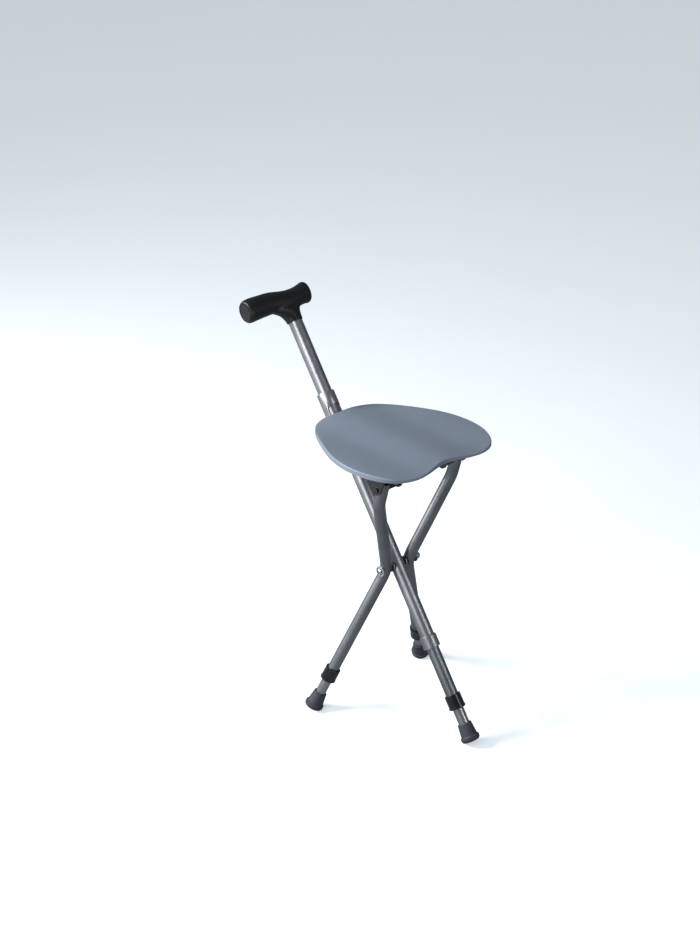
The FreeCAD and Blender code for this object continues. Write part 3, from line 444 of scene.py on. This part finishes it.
def view_axes():
    """The directions back to the camera, to the picture's right and up, with no roll."""
    azimuth = math.radians(CAMERA_AZIMUTH)
    elevation = math.radians(CAMERA_ELEVATION)
    back = Vector((
        math.sin(azimuth) * math.cos(elevation),
        -math.cos(azimuth) * math.cos(elevation),
        math.sin(elevation)))
    right = Vector((math.cos(azimuth), math.sin(azimuth), 0.0))
    return back, right, back.cross(right)


def make_camera():
    back, level, upright = view_axes()
    roll = math.radians(CAMERA_ROLL)
    right = level * math.cos(roll) + upright * math.sin(roll)
    up = upright * math.cos(roll) - level * math.sin(roll)
    camera = bpy.data.cameras.new("camera")
    camera.sensor_width = SENSOR
    camera.lens = CAMERA_LENS
    holder = bpy.data.objects.new("camera", camera)
    bpy.context.scene.collection.objects.link(holder)
    turn = Matrix((right, up, back)).transposed().to_4x4()
    holder.matrix_world = Matrix.Translation(PIVOT + CAMERA_OFFSET) @ turn
    bpy.context.scene.camera = holder


def area_light(name, side, front, rise, size, power):
    """A soft box placed beside, in front of and above the pivot, as the picture shows it."""
    back, right, _ = view_axes()
    toward = Vector((back.x, back.y, 0.0)).normalized()
    place = PIVOT + right * side + toward * front + Vector((0.0, 0.0, rise))
    lamp = bpy.data.lights.new(name, "AREA")
    lamp.shape = "RECTANGLE"
    lamp.size, lamp.size_y = size
    lamp.energy = power
    holder = bpy.data.objects.new(name, lamp)
    bpy.context.scene.collection.objects.link(holder)
    holder.location = place
    holder.rotation_mode = "QUATERNION"
    holder.rotation_quaternion = (place - PIVOT).to_track_quat("Z", "Y")


def make_lights():
    for light in LIGHTS:
        area_light(*light)
    world = bpy.data.worlds.new("studio")
    bpy.context.scene.world = world
    world.use_nodes = True
    tree = world.node_tree
    sky = tree.nodes["Background"]
    sky.inputs["Color"].default_value = SKY_COLOUR + (1.0,)
    sky.inputs["Strength"].default_value = WORLD_LIGHT
    backdrop = tree.nodes.new("ShaderNodeBackground")
    backdrop.inputs["Color"].default_value = FLOOR_COLOUR + (1.0,)
    mix_by_camera(tree, sky.outputs["Background"], backdrop.outputs["Background"], tree.nodes["World Output"])


def mix_by_camera(tree, lit, seen, output):
    """One shader for what the camera sees and another for the light that reaches the object."""
    path = tree.nodes.new("ShaderNodeLightPath")
    mix = tree.nodes.new("ShaderNodeMixShader")
    tree.links.new(path.outputs["Is Camera Ray"], mix.inputs["Fac"])
    tree.links.new(lit, mix.inputs[1])
    tree.links.new(seen, mix.inputs[2])
    tree.links.new(mix.outputs["Shader"], output.inputs["Surface"])


def make_floor():
    """A plain pale floor, dimmer to the object than it looks, so that the tubes keep their contrast."""
    made, tree, shader, place = node_tools("floor_paper")
    cloud = noise(tree, place, FLOOR_CLOUD, detail=2.0)
    tree.links.new(
        tinted(tree, cloud, shade(FLOOR_COLOUR, 0.985), shade(FLOOR_COLOUR, 1.015)),
        shader.inputs["Base Color"])
    shader.inputs["Roughness"].default_value = FLOOR_ROUGHNESS
    shader.inputs["Emission Color"].default_value = FLOOR_COLOUR + (1.0,)
    shader.inputs["Emission Strength"].default_value = FLOOR_GLOW
    dim = tree.nodes.new("ShaderNodeBsdfDiffuse")
    dim.inputs["Color"].default_value = shade(FLOOR_COLOUR, FLOOR_BOUNCE)
    mix_by_camera(tree, dim.outputs["BSDF"], shader.outputs["BSDF"], tree.nodes["Material Output"])
    mesh = bpy.data.meshes.new("floor")
    half = FLOOR_HALF
    corners = [(-half, -half, 0), (half, -half, 0), (half, half, 0), (-half, half, 0)]
    mesh.from_pydata(corners, [], [(0, 1, 2, 3)])
    mesh.materials.append(made)
    floor = bpy.data.objects.new("floor", mesh)
    bpy.context.scene.collection.objects.link(floor)


dress_all()
make_camera()
make_lights()
make_floor()
bpy.context.scene.view_settings.view_transform = "Standard"
